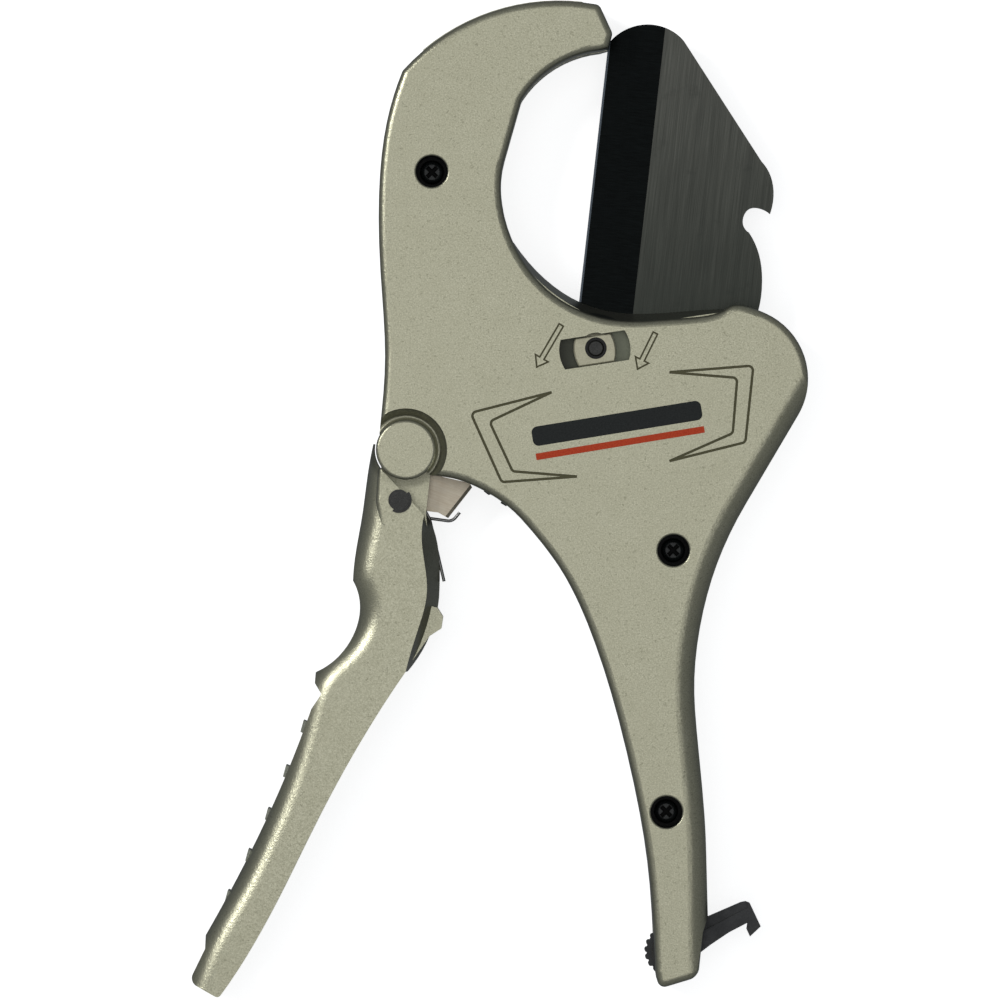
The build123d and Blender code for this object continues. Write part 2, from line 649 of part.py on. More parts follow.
with BuildPart() as blade_release_button:
    with BuildSketch(Plane.XY.offset(BUTTON_TOP - BUTTON_PLATE)):
        with Locations(POCKET_CENTRE):
            Rectangle(BUTTON_LENGTH, POCKET_WIDTH - 0.4, rotation=POCKET_TILT)
        # its two ends bulge as the pocket's ends do
        for side in (0, 180):
            with Locations(polar(POCKET_CENTRE, END_SHIFT, POCKET_TILT + side)):
                Circle(POCKET_LENGTH / 2, mode=Mode.INTERSECT)
    extrude(amount=BUTTON_PLATE)
    chamfer(blade_release_button.faces().sort_by(Axis.Z)[-1].edges(), 0.35)
    with BuildSketch(Plane.XY.offset(BUTTON_BOTTOM)):
        Circle(SLEEVE_RADIUS - 0.5)
    extrude(amount=BUTTON_TOP - BUTTON_PLATE - BUTTON_BOTTOM)
    with BuildSketch(Plane.XY.offset(BUTTON_BOTTOM)):
        Circle(SLEEVE_RADIUS)
    extrude(amount=POCKET_FLOOR - 0.2 - BUTTON_BOTTOM)
    with BuildSketch(Plane.XY.offset(BUTTON_BOTTOM)):
        Circle(NOSE_RADIUS + RUN_FIT)
    extrude(amount=BODY_THICK, mode=Mode.SUBTRACT)
    with BuildSketch(Plane.XY.offset(BUTTON_TOP - 0.8)):
        Circle(3.1)
    extrude(amount=2.0, mode=Mode.SUBTRACT)
written(blade_release_button.part, "blade_release_button")

with BuildPart() as button_spring:
    add(wound_wire(BLADE_PIVOT, 0.35, 3.5, 3.4, SPRING_SEAT + 0.36, 2.48, 0, False, [], []))
written(button_spring.part, "button_spring")

with BuildPart() as blade_stop_pin:
    with Locations((*STOP_PIN, MID)):
        Cylinder(SMALL_PIN_RADIUS, SMALL_PIN_LENGTH)
    chamfer(blade_stop_pin.edges().filter_by(GeomType.CIRCLE), 0.3)
written(blade_stop_pin.part, "blade_stop_pin")

# ---- Holding pawl -------------------------------------------------------------------------

with BuildPart() as holding_pawl:
    with BuildSketch(Plane.XY.offset(MID - BLADE_THICK / 2)):
        with Locations(HOLDING_PIVOT):
            Circle(PAWL_HUB_RADIUS)
        Polygon(
            (-5.6, -59.4), (5.6, -52.75), (8.2, -52.2), (8.6, -55.0), (-1.4, -65.3), align=None
        )
        with Locations(HOLDING_PIVOT):
            Circle(SMALL_PIN_RADIUS + RUN_FIT, mode=Mode.SUBTRACT)
    extrude(amount=BLADE_THICK)
written(holding_pawl.part, "holding_pawl")

with BuildPart() as holding_pawl_pin:
    with Locations((*HOLDING_PIVOT, MID)):
        Cylinder(SMALL_PIN_RADIUS, SMALL_PIN_LENGTH)
    chamfer(holding_pawl_pin.edges().filter_by(GeomType.CIRCLE), 0.3)
written(holding_pawl_pin.part, "holding_pawl_pin")

with BuildPart() as holding_pawl_spring:
    add(wound_wire(HOLDING_PIVOT, 0.35, 2, 2.6, BLADE_TOP + 0.5, 1.5, 40, False, [(1.2, 0, 0)], []))
written(holding_pawl_spring.part, "holding_pawl_spring")

# ---- Lever, its pivot and the drive pawl --------------------------------------------------

# The smooth curve that rounds over the lever's outer side on both faces.
with BuildPart() as lever_envelope:
    with BuildSketch(Plane.XY.offset(MID - LEVER_THICK / 2)):
        with BuildLine():
            Spline(
                [
                    (-62.9, -10.0),
                    (-63.9, -27.0),
                    (-65.7, -38.0),
                    (-67.4, -49.0),
                    (-69.5, -59.0),
                    (-70.2, -67.0),
                    (-68.3, -75.0),
                    (-70.6, -82.0),
                    (-80.3, -92.3),
                    (-84.2, -102.5),
                    (-89.0, -119.5),
                    (-95.8, -136.8),
                    (-103.6, -152.9),
                    (-112.2, -168.3),
                    (-117.4, -181.0),
                    (-122.0, -195.0),
                ]
            )
            Polyline((-122.0, -195.0), (-20.0, -195.0), (-20.0, -10.0), (-62.9, -10.0))
        make_face()
    extrude(amount=LEVER_THICK)
    fillet(lever_envelope.edges().filter_by(GeomType.BSPLINE), LEVER_ROUND)

# The low boss round the pawl pin, on both faces, with a soft rim.
with BuildPart() as pin_boss:
    with BuildSketch(Plane.XY.offset(MID - LEVER_THICK / 2)) as boss_outline:
        Polygon(
            (-59.4, -31.0), (-62.3, -34.5), (-62.9, -44.0), (-61.8, -51.5), (-55.0, -54.0), (-44.0, -46.0),
            align=None,
        )
        fillet(boss_outline.vertices(), BOSS_CORNER)
    extrude(amount=LEVER_THICK)
    fillet(pin_boss.edges().filter_by(Axis.Z, reverse=True), BOSS_ROUND)
    with BuildSketch(Plane.XY.offset(MID - LEVER_THICK / 2)):
        add(lever_outline.sketch)
        with Locations(LEVER_PIVOT):
            Circle(DISC_RADIUS + 0.5, mode=Mode.SUBTRACT)
    extrude(amount=LEVER_THICK, mode=Mode.INTERSECT)

with BuildPart() as lever_handle:
    with BuildSketch(Plane.XY.offset(MID - LEVER_THICK / 2)):
        add(lever_outline.sketch)
        with Locations(LEVER_PIVOT):
            Circle(DISC_RADIUS + 0.5, mode=Mode.SUBTRACT)
    extrude(amount=LEVER_THICK)
    add(lever_envelope.part, mode=Mode.INTERSECT)
    add(pin_boss.part)
    # short ribs across the outer side of the grip, each a saw tooth that leans towards the pivot
    with BuildSketch(Plane.XY.offset(MID - RIB_LENGTH / 2)):
        for corner in LEVER_RIBS:
            tip = Vector(*corner)
            with BuildLine():
                Polyline(
                    tip,
                    tip + RIB_ALONG * 3.4 + RIB_INWARD * 0.6,
                    tip + RIB_ALONG * 3.4 + RIB_INWARD * 2.5,
                    tip + RIB_INWARD * 2.5,
                    close=True,
                )
            make_face()
    extrude(amount=RIB_LENGTH)
    # the channel of the grip, open on the inner side, and the narrow one of the drive pawl
    with BuildSketch(Plane.XY.offset(MID - LEVER_THICK / 2 + LEVER_CHANNEL_WALL)):
        Polygon(
            (-61.0, -88.5), (-71.0, -96.5), (-76.2, -104.5), (-90.4, -136.0), (-106.4, -167.5),
            (-109.8, -177.0), (-103.6, -178.6), (-92.0, -172.0), (-40.0, -88.0),
            align=None,
        )
    extrude(amount=LEVER_THICK - 2 * LEVER_CHANNEL_WALL, mode=Mode.SUBTRACT)
    with BuildSketch(Plane.XY.offset(2 * MID - EYE_BOTTOM)):
        Polygon(
            (-61.2, -26.0), (-62.8, -36.0), (-64.2, -48.0), (-66.7, -64.0), (-64.6, -75.0),
            (-67.2, -84.0), (-73.0, -95.0), (-38.0, -92.0), (-38.0, -26.0),
            align=None,
        )
        Polygon(
            (-85.0, -195.0), (-125.0, -195.0), (-125.0, -167.0), (-106.0, -167.0), (-88.0, -176.0),
            align=None,
        )
    extrude(amount=2 * (EYE_BOTTOM - MID), mode=Mode.SUBTRACT)
    # the sloping inner walls of the belly
    for foot, top in (
        (EYE_BOTTOM, MID + LEVER_THICK / 2),
        (2 * MID - EYE_BOTTOM, MID - LEVER_THICK / 2),
    ):
        with BuildSketch(Plane.XY.offset(foot)):
            add(belly_foot.sketch)
        with BuildSketch(Plane.XY.offset(top)):
            add(belly_top.sketch)
        loft(ruled=True)
    # the two inner arms with the pivot eyes
    for level in (EYE_BOTTOM, 2 * MID - EYE_TOP):
        with BuildSketch(Plane.XY.offset(level)):
            add(lever_arm_outline.sketch)
        extrude(amount=EYE_TOP - EYE_BOTTOM)
    with BuildSketch():
        with Locations(LEVER_PIVOT):
            Circle(LEVER_PIN_RADIUS + RUN_FIT)
        with Locations(PAWL_PIVOT):
            Circle(PAWL_PIN_RADIUS)
    extrude(amount=BODY_THICK, mode=Mode.SUBTRACT)
written(lever_handle.part, "lever_handle")

with BuildPart() as lever_pivot_pin:
    with Locations((*LEVER_PIVOT, MID)):
        Cylinder(LEVER_PIN_RADIUS, LEVER_PIN_LENGTH)
    chamfer(lever_pivot_pin.edges().filter_by(GeomType.CIRCLE), 0.4)
written(lever_pivot_pin.part, "lever_pivot_pin")

# The return spring sits between the eyes; one leg presses the body, the other the lever's web.
with BuildPart() as lever_return_spring:
    add(
        wound_wire(
            LEVER_PIVOT, 0.6, 4, 5.2, MID - 2.2, 4.4, 180, False, [(6.2, 0, 0)], [(9.5, 0, 0)]
        )
    )
written(lever_return_spring.part, "lever_return_spring")

with BuildPart() as pawl_pin:
    with Locations((*PAWL_PIVOT, MID - LEVER_THICK / 2)):
        Cylinder(PAWL_PIN_RADIUS, LEVER_THICK, align=(Align.CENTER, Align.CENTER, Align.MIN))
    with Locations((*PAWL_PIVOT, MID + LEVER_THICK / 2)):
        Cylinder(CLIP_SEAT_RADIUS, CLIP_THICK, align=(Align.CENTER, Align.CENTER, Align.MIN))
    with Locations((*PAWL_PIVOT, MID + LEVER_THICK / 2 + CLIP_THICK)):
        Cylinder(PAWL_PIN_RADIUS, 0.4, align=(Align.CENTER, Align.CENTER, Align.MIN))
written(pawl_pin.part, "pawl_pin")

with BuildPart() as pawl_pin_clip:
    with BuildSketch(Plane.XY.offset(MID + LEVER_THICK / 2)):
        with Locations(PAWL_PIVOT):
            Circle(CLIP_RADIUS)
            Circle(CLIP_SEAT_RADIUS, mode=Mode.SUBTRACT)
        Polygon(
            PAWL_PIVOT, polar(PAWL_PIVOT, 9, 40), polar(PAWL_PIVOT, 14, 100),
            polar(PAWL_PIVOT, 14, 180), polar(PAWL_PIVOT, 9, 240),
            align=None, mode=Mode.SUBTRACT,
        )
    extrude(amount=CLIP_THICK)
written(pawl_pin_clip.part, "pawl_pin_clip")

with BuildPart() as drive_pawl:
    with BuildSketch(Plane.XY.offset(PAWL_BOTTOM)):
        with BuildLine():
            Polyline(
                (-57.8, -38.6), (-47.1, -36.0), (-36.1, -38.5), (-35.4, -39.8),
                (-42.3, -48.6), (-45.1, -47.0), (-48.3, -46.6), (-54.0, -46.8), (-57.8, -38.6),
            )
        make_face()
        with Locations(PAWL_PIVOT):
            Circle(5.0)
            Circle(PAWL_PIN_RADIUS + RUN_FIT, mode=Mode.SUBTRACT)
    extrude(amount=PAWL_THICK)
    chamfer(drive_pawl.edges().filter_by(Axis.Z, reverse=True).sort_by_distance(
        Vector(-38.8, -44.2, MID))[:2], 0.9)
    # the spring's coil sits in a counterbore round the pin
    with BuildSketch(Plane.XY.offset(MID + 0.3)):
        with Locations(PAWL_PIVOT):
            Circle(5.2)
    extrude(amount=PAWL_THICK, mode=Mode.SUBTRACT)
written(drive_pawl.part, "drive_pawl")

# One leg hooks round under the pawl's nose, the other crosses it and lies along the belly.
with BuildPart() as drive_pawl_spring:
    add(
        wound_wire(
            PAWL_PIVOT, 0.45, 1.625, 4.0, MID + 0.9, 1.55, 262, True,
            [(14.5, 2.5, 58), (2.0, 0, 0)],
            [(6.8, 10.0, -24), (17.0, 0, 0)],
        )
    )
written(drive_pawl_spring.part, "drive_pawl_spring")

# ---- Storage latch ------------------------------------------------------------------------

with BuildPart() as storage_latch:
    with BuildSketch(Plane.XY.offset(MID - LATCH_THICK / 2)):
        with Locations(LATCH_PIVOT):
            Circle(LATCH_HUB_RADIUS)
        Polygon(
            (22.6, -166.9), (32.0, -163.1), (41.7, -158.9), (43.1, -158.6), (44.3, -159.1),
            (47.4, -165.7), (44.3, -168.6), (43.4, -166.6), (43.7, -164.6), (38.3, -167.4),
            (33.1, -170.9), (25.6, -176.6),
            align=None,
        )
    extrude(amount=LATCH_THICK)
    # the step along the arm's upper edge, on both faces
    for level in (MID + LATCH_THICK / 2 - LATCH_STEP, MID - LATCH_THICK / 2):
        with BuildSketch(Plane.XY.offset(level)):
            Polygon((28.0, -168.5), (43.7, -160.3), (43.4, -157.0), (28.0, -163.0), align=None)
        extrude(amount=LATCH_STEP, mode=Mode.SUBTRACT)
    # serrations round the free part of the hub
    with BuildSketch(Plane.XY.offset(MID - LATCH_THICK / 2)):
        for step in range(LATCH_SERRATIONS):
            with Locations(polar(LATCH_PIVOT, LATCH_HUB_RADIUS - 0.1, 100 + 19 * step)):
                Circle(0.75)
    extrude(amount=LATCH_THICK)
    with BuildSketch(Plane.XY.offset(MID - LATCH_THICK / 2)):
        with Locations(LATCH_PIVOT):
            Circle(LATCH_PIN_RADIUS + RUN_FIT)
    extrude(amount=LATCH_THICK, mode=Mode.SUBTRACT)
written(storage_latch.part, "storage_latch")

with BuildPart() as latch_pin:
    with Locations((*LATCH_PIVOT, MID)):
        Cylinder(LATCH_PIN_RADIUS, LATCH_PIN_LENGTH)
    chamfer(latch_pin.edges().filter_by(GeomType.CIRCLE), 0.3)
written(latch_pin.part, "latch_pin")

# Thin friction washers between the latch and the two halves.
with BuildPart() as latch_friction_washers:
    for level in (MID + LATCH_THICK / 2 + 0.02, MID - LATCH_THICK / 2 - LATCH_GAP + 0.02):
        with BuildSketch(Plane.XY.offset(level)):
            with Locations(LATCH_PIVOT):
                Circle(5.2)
                Circle(LATCH_PIN_RADIUS, mode=Mode.SUBTRACT)
        extrude(amount=LATCH_GAP - 0.04)
written(latch_friction_washers.part, "latch_friction_washers")
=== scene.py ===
"""The looks of a ratchet PVC pipe cutter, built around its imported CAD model.

The tool lies on its back on a pale table, and the camera looks straight down on its front face.
Lengths are in metres, in the frame of the CAD model.
"""
import json
from math import cos, radians, sin

import bmesh
import bpy
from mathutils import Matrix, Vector


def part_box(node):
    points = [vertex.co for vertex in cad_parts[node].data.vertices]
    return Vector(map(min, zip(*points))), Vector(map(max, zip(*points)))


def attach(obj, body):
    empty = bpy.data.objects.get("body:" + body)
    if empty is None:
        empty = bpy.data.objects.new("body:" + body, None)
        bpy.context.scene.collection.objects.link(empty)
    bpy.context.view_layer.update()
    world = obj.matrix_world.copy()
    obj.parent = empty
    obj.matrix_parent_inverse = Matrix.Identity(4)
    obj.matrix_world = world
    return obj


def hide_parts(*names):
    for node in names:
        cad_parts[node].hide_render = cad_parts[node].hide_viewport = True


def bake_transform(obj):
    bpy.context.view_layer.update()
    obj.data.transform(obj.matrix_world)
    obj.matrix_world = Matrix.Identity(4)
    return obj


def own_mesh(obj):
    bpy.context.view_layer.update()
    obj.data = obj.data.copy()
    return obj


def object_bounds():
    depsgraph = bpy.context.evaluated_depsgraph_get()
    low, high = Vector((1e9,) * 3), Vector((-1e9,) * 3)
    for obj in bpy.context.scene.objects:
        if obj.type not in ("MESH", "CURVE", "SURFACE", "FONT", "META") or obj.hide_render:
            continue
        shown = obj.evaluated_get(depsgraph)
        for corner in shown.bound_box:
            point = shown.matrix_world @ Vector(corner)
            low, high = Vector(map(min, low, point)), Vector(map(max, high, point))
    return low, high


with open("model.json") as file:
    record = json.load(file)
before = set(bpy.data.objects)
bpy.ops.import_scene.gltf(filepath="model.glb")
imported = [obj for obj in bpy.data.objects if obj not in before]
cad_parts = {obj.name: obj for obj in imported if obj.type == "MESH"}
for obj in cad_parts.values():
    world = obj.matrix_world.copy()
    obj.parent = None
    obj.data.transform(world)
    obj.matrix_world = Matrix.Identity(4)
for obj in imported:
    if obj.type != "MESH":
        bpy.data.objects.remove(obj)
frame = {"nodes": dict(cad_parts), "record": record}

CAD_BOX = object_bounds()
MM = 0.001

# ---- Places, read from the CAD model --------------------------------------------------------

FACE_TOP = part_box("front_body_half")[1].z           # the front face of the body
FACE_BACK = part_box("rear_body_half")[0].z           # the face that the tool lies on
SCREW_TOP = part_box("case_screws")[1].z
BUTTON_LOW, BUTTON_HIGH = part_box("blade_release_button")
BUTTON_CENTRE = (BUTTON_LOW + BUTTON_HIGH) / 2
CENTRE = (CAD_BOX[0] + CAD_BOX[1]) / 2

# ---- Places on single faces, as the CAD model has them --------------------------------------

POCKET_REACH = 10.6 * MM                            # from the button's centre to past its pocket
POCKET_HALF = 9.0 * MM                              # half of the pocket's length
POCKET_DEPTH = 4.7 * MM
LINE_DEPTH = 0.45 * MM                              # of the cast lines
LINE_TOLERANCE = 0.08 * MM
SCREW_PLACES = [(-46.9, 50.5), (22.2, -57.8), (20.2, -132.6)]
SCREW_REACH = 4.7 * MM                              # from a screw's axis to past its bore
RING_REACH = 3.3 * MM                               # from the pivot to past the button's sunk ring
RIB_TOP = 19.0 * MM                                 # the upper ends of the lever's ribs
RIB_TOLERANCE = 0.1 * MM
DISC_PLACE = (-54.3, -29.0)                         # the round cheek over the lever pivot
GROOVE_INNER, GROOVE_OUTER = 8.4 * MM, 11.4 * MM    # of the groove round the cheek
COIL_WIRE = 1.0 * MM                                # what of a coil's height each of its legs fills

EDGE_POINT = Vector((-5.17, 9.0, 0)) * MM           # a point on the cutting edge
EDGE_ANGLE = radians(6.4713)                        # the edge's lean to the right of straight up
EDGE_NORMAL = Vector((cos(EDGE_ANGLE), -sin(EDGE_ANGLE), 0))
EDGE_HIGHLIGHT_WIDTH = 0.55 * MM                              # a painted highlight along the very edge
BEVEL_WIDTH = 15.7 * MM

LEVEL = 0.99                                        # a normal's upright part on a level face


# ---- Node helpers ---------------------------------------------------------------------------


class Finish:
    """A procedural material: its shader, and a short way to add nodes that feed it."""

    def __init__(self, name, metallic=0.0, roughness=0.5):
        self.material = bpy.data.materials.new(name)
        self.material.use_nodes = True
        self.tree = self.material.node_tree
        self.shader = self.tree.nodes["Principled BSDF"]
        self.shader.inputs["Metallic"].default_value = metallic
        self.shader.inputs["Roughness"].default_value = roughness
        self.coords = self.add("ShaderNodeTexCoord").outputs["Object"]

    def add(self, kind, values=(), **settings):
        """A new node. A value that is a socket is linked, any other is the input's own."""
        made = self.tree.nodes.new(kind)
        for name, value in settings.items():
            setattr(made, name, value)
        for name, value in dict(values).items():
            self.feed(made.inputs[name], value)
        return made

    def feed(self, socket, value):
        """Link a socket to this one, or set this one to a plain value."""
        if isinstance(value, bpy.types.NodeSocket):
            self.tree.links.new(value, socket)
        else:
            socket.default_value = value

    def math(self, operation, a, b=0.0):
        return self.add("ShaderNodeMath", {0: a, 1: b}, operation=operation).outputs[0]

    def vector_math(self, operation, a, b):
        return self.add("ShaderNodeVectorMath", {0: a, 1: b}, operation=operation).outputs

    def noise(self, size, detail=2.0, roughness=0.5, coords=None):
        """Noise from 0 to 1 whose lumps are about this large."""
        return self.add(
            "ShaderNodeTexNoise",
            {
                "Vector": coords or self.coords,
                "Scale": 1 / size,
                "Detail": detail,
                "Roughness": roughness,
            },
        ).outputs["Fac"]

    def ramp(self, value, low, high, to_low=0.0, to_high=1.0):
        """The value between low and high, spread from to_low to to_high and held there."""
        return self.add(
            "ShaderNodeMapRange",
            {
                "Value": value,
                "From Min": low,
                "From Max": high,
                "To Min": to_low,
                "To Max": to_high,
            },
        ).outputs["Result"]

    def mix(self, share, a, b):
        """Colour a with this share of colour b in it."""
        made = self.add("ShaderNodeMix", data_type="RGBA")
        self.feed(made.inputs[0], share)
        self.feed(made.inputs[6], a)
        self.feed(made.inputs[7], b)
        return made.outputs[2]

    def axis(self, name, coords=None):
        """One coordinate of a point."""
        split = self.add("ShaderNodeSeparateXYZ", {"Vector": coords or self.coords})
        return split.outputs[name]

    def upright(self):
        """The upright part of the surface's normal: 1 on a level face and 0 on a side."""
        normal = self.add("ShaderNodeNewGeometry").outputs["Normal"]
        return self.axis("Z", normal)

    def turned(self, angle, scale):
        """Object coordinates turned about Z by this angle and then scaled."""
        turn = self.add(
            "ShaderNodeMapping", {"Vector": self.coords, "Rotation": (0, 0, angle)}
        ).outputs[0]
        return self.add("ShaderNodeMapping", {"Vector": turn, "Scale": scale}).outputs[0]

    def reach(self, place):
        """How far a point is from the upright line through a place given in millimetres."""
        x = self.math("SUBTRACT", self.axis("X"), place[0] * MM)
        y = self.math("SUBTRACT", self.axis("Y"), place[1] * MM)
        square = self.math("ADD", self.math("MULTIPLY", x, x), self.math("MULTIPLY", y, y))
        return self.math("SQRT", square)

    def at_height(self, height, tolerance):
        """1 where a point is as high as this, and 0 elsewhere."""
        off = self.math("ABSOLUTE", self.math("SUBTRACT", self.axis("Z"), height))
        return self.math("LESS_THAN", off, tolerance)

    def specular(self, value):
        self.feed(self.shader.inputs["Specular IOR Level"], value)

    def colour(self, value):
        self.feed(self.shader.inputs["Base Color"], value)

    def roughness(self, value):
        self.feed(self.shader.inputs["Roughness"], value)

    def bump(self, height, distance, strength):
        bump = self.add(
            "ShaderNodeBump",
            {"Height": height, "Distance": distance, "Strength": strength},
        )
        self.feed(self.shader.inputs["Normal"], bump.outputs[0])


def rgb(red, green, blue):
    """A colour given as it looks on a screen, 0 to 255, in the shader's own linear values."""
    return tuple(((c / 255 + 0.055) / 1.055) ** 2.4 for c in (red, green, blue)) + (1.0,)


# ---- Paint of the castings ------------------------------------------------------------------


def paint_coat(f, grain):
    """Champagne metallic with a fine grain, pale flakes and dark specks."""
    cloud = f.noise(6.0 * MM, detail=2)
    specks = f.noise(0.8 * MM, detail=1)
    flakes = f.noise(0.25 * MM, detail=0)
    shade = f.mix(f.ramp(grain, 0.32, 0.68), rgb(176, 174, 149), rgb(206, 204, 180))
    shade = f.mix(f.ramp(cloud, 0.3, 0.7, 0.0, 0.25), shade, rgb(180, 178, 152))
    shade = f.mix(f.ramp(specks, 0.28, 0.34, 0.35, 0.0), shade, rgb(120, 118, 96))
    return f.mix(f.ramp(flakes, 0.68, 0.76, 0.0, 0.55), shade, rgb(232, 230, 208))


def pocket_painted_shade(f, shade):
    """The pocket under the release button is painted dark as painted shade, and lighter towards its
    right end as painted light on its slope.
    """
    pocket_floor = (BUTTON_CENTRE.x, BUTTON_CENTRE.y, FACE_TOP - POCKET_DEPTH)
    from_button = f.vector_math("DISTANCE", f.coords, pocket_floor)["Value"]
    near = f.math("LESS_THAN", from_button, POCKET_REACH)
    low = f.math("LESS_THAN", f.axis("Z"), FACE_TOP - POCKET_DEPTH / 2)
    right = f.ramp(f.axis("X"), BUTTON_CENTRE.x - POCKET_HALF, BUTTON_CENTRE.x + POCKET_HALF)
    pocket_shade = f.mix(right, rgb(60, 61, 54), rgb(112, 115, 100))
    return f.mix(f.math("MULTIPLY", low, near), shade, pocket_shade)


def lines_painted_shade(f, shade):
    """The floors of the cast lines on the front face are painted darker, as painted shade."""
    level = f.math("GREATER_THAN", f.upright(), LEVEL)
    in_line = f.at_height(FACE_TOP - LINE_DEPTH, LINE_TOLERANCE)
    return f.mix(f.math("MULTIPLY", in_line, level), shade, rgb(84, 82, 62))


def side_painted_shade(f, shade):
    """Painted shade: steep sides and the level ends of the ribs are painted darker and cooler."""
    upright = f.upright()
    steep = f.ramp(f.math("ABSOLUTE", upright), 0.85, 0.3)
    level = f.math("GREATER_THAN", upright, LEVEL)
    on_rib = f.math("MULTIPLY", f.at_height(RIB_TOP, RIB_TOLERANCE), level)
    cool = f.math("MULTIPLY", f.math("MAXIMUM", steep, on_rib), 0.7)
    return f.mix(cool, shade, rgb(104, 110, 108))


def bores_painted_shade(f, shade):
    """The screws' deep bores are painted black inside, as painted shade."""
    sunk = f.ramp(f.axis("Z"), FACE_TOP - 0.7 * MM, FACE_TOP - 1.2 * MM)
    for place in SCREW_PLACES:
        inside = f.math("LESS_THAN", f.reach(place), SCREW_REACH)
        shade = f.mix(f.math("MULTIPLY", sunk, inside), shade, rgb(12, 12, 12))
    return shade


def groove_painted_shade(f, shade):
    """Painted shade darkens the groove round the cheek over the lever pivot."""
    around = f.reach(DISC_PLACE)
    sunk = f.ramp(f.axis("Z"), FACE_TOP - 0.5 * MM, FACE_TOP - 1.6 * MM)
    inside = f.math(
        "MULTIPLY",
        f.ramp(around, GROOVE_INNER, GROOVE_INNER + 0.4 * MM),
        f.ramp(around, GROOVE_OUTER, GROOVE_OUTER - 1.2 * MM),
    )
    groove_shade = f.math("MULTIPLY", f.math("MULTIPLY", inside, sunk), 0.4)
    return f.mix(groove_shade, shade, rgb(58, 60, 50))


def cast_paint():
    """Metallic paint over a cast surface, with painted shade in its pocket, cast lines, bores and
    groove and on its steep sides.
    """
    f = Finish("cast_paint", metallic=0.85)
    grain = f.noise(0.42 * MM, detail=3, roughness=0.65)
    shade = paint_coat(f, grain)
    for layer in (pocket_painted_shade, lines_painted_shade, side_painted_shade, bores_painted_shade, groove_painted_shade):
        shade = layer(f, shade)
    f.colour(shade)
    f.roughness(f.ramp(grain, 0.3, 0.7, 0.4, 0.28))
    lumps = f.math("ADD", f.noise(0.7 * MM, detail=3), f.math("MULTIPLY", grain, 0.6))
    f.bump(lumps, 0.09 * MM, 0.55)
    return f.material


# ---- Other materials ------------------------------------------------------------------------


def blade_oxide():
    """Black oxide, brushed along the cutting edge, with a darker and glossier ground bevel."""
    f = Finish("blade_oxide", metallic=0.55)
    along = f.turned(EDGE_ANGLE, (1, 0.012, 1))
    fine = f.noise(0.22 * MM, detail=2, roughness=0.7, coords=along)
    broad = f.noise(1.6 * MM, detail=2, coords=along)
    stains = f.noise(7.0 * MM, detail=4, roughness=0.6)
    shade = f.mix(f.ramp(fine, 0.3, 0.7), rgb(80, 81, 75), rgb(102, 103, 96))
    shade = f.mix(f.ramp(broad, 0.35, 0.65, 0.0, 0.3), shade, rgb(44, 46, 43))
    shade = f.mix(f.ramp(stains, 0.6, 0.75, 0.0, 0.35), shade, rgb(40, 42, 40))
    # the blade is darker towards its lower end, near the pivot
    shade = f.mix(f.ramp(f.axis("Y"), 80 * MM, 10 * MM, 0.0, 0.7), shade, rgb(40, 46, 39))
    # the bevel is ground across the blade, and the very edge gets a painted highlight
    from_edge = f.vector_math("SUBTRACT", f.coords, EDGE_POINT)["Vector"]
    into_blade = f.vector_math("DOT_PRODUCT", from_edge, EDGE_NORMAL)["Value"]
    on_bevel = f.math("LESS_THAN", into_blade, BEVEL_WIDTH)
    above_pivot = f.math("GREATER_THAN", f.axis("Y"), EDGE_POINT.y)
    bevel = f.math("MULTIPLY", on_bevel, above_pivot)
    scratch = f.noise(0.3 * MM, detail=2, coords=f.turned(EDGE_ANGLE, (0.02, 1, 1)))
    ground = f.mix(f.ramp(scratch, 0.3, 0.7), rgb(6, 9, 9), rgb(15, 19, 19))
    edge_highlight = f.math("LESS_THAN", into_blade, EDGE_HIGHLIGHT_WIDTH)
    ground = f.mix(f.math("MULTIPLY", edge_highlight, 0.8), ground, rgb(96, 104, 112))
    f.colour(f.mix(bevel, shade, ground))
    f.specular(f.math("SUBTRACT", 0.4, f.math("MULTIPLY", bevel, 0.32)))
    satin = f.ramp(fine, 0.3, 0.7, 0.42, 0.3)
    f.roughness(f.math("SUBTRACT", satin, f.math("MULTIPLY", bevel, 0.1)))
    f.bump(f.math("MULTIPLY", fine, f.math("SUBTRACT", 1.0, bevel)), 0.02 * MM, 0.5)
    return f.material


def smudged(f, fine, smudge, dark, light, smudge_tint):
    """A fine grain from dark to light, with faint smudges over it."""
    shade = f.mix(f.ramp(fine, 0.3, 0.7), dark, light)
    return f.mix(f.ramp(smudge, 0.45, 0.75, 0.0, 0.4), shade, smudge_tint)


def plain_metal(name, dark, light, metallic, roughness):
    """A plain metal or coating with a fine grain, faint smudges and uneven gloss."""
    f = Finish(name, metallic=metallic)
    fine = f.noise(0.3 * MM, detail=3, roughness=0.6)
    smudge = f.noise(3.5 * MM, detail=3, roughness=0.6)
    f.colour(smudged(f, fine, smudge, dark, light, dark))
    f.roughness(f.ramp(smudge, 0.3, 0.7, roughness - 0.06, roughness + 0.08))
    f.bump(fine, 0.02 * MM, 0.4)
    return f.material


def button_plate():
    """The release button: pale satin plating, with the ring sunk round the pivot's nose painted
    black as painted shade.
    """
    f = Finish("button_plate", metallic=0.35)
    fine = f.noise(0.3 * MM, detail=3, roughness=0.6)
    smudge = f.noise(3.5 * MM, detail=3, roughness=0.6)
    shade = smudged(f, fine, smudge, rgb(190, 186, 158), rgb(216, 212, 186), rgb(178, 174, 148))
    sunk = f.math("LESS_THAN", f.axis("Z"), BUTTON_HIGH.z - 0.4 * MM)
    ring = f.math("LESS_THAN", f.reach((0, 0)), RING_REACH)
    # painted shade: the sunk ring round the pivot's nose is painted black
    f.colour(f.mix(f.math("MULTIPLY", sunk, ring), shade, rgb(14, 14, 13)))
    f.roughness(f.ramp(smudge, 0.3, 0.7, 0.3, 0.44))
    f.bump(fine, 0.02 * MM, 0.4)
    return f.material


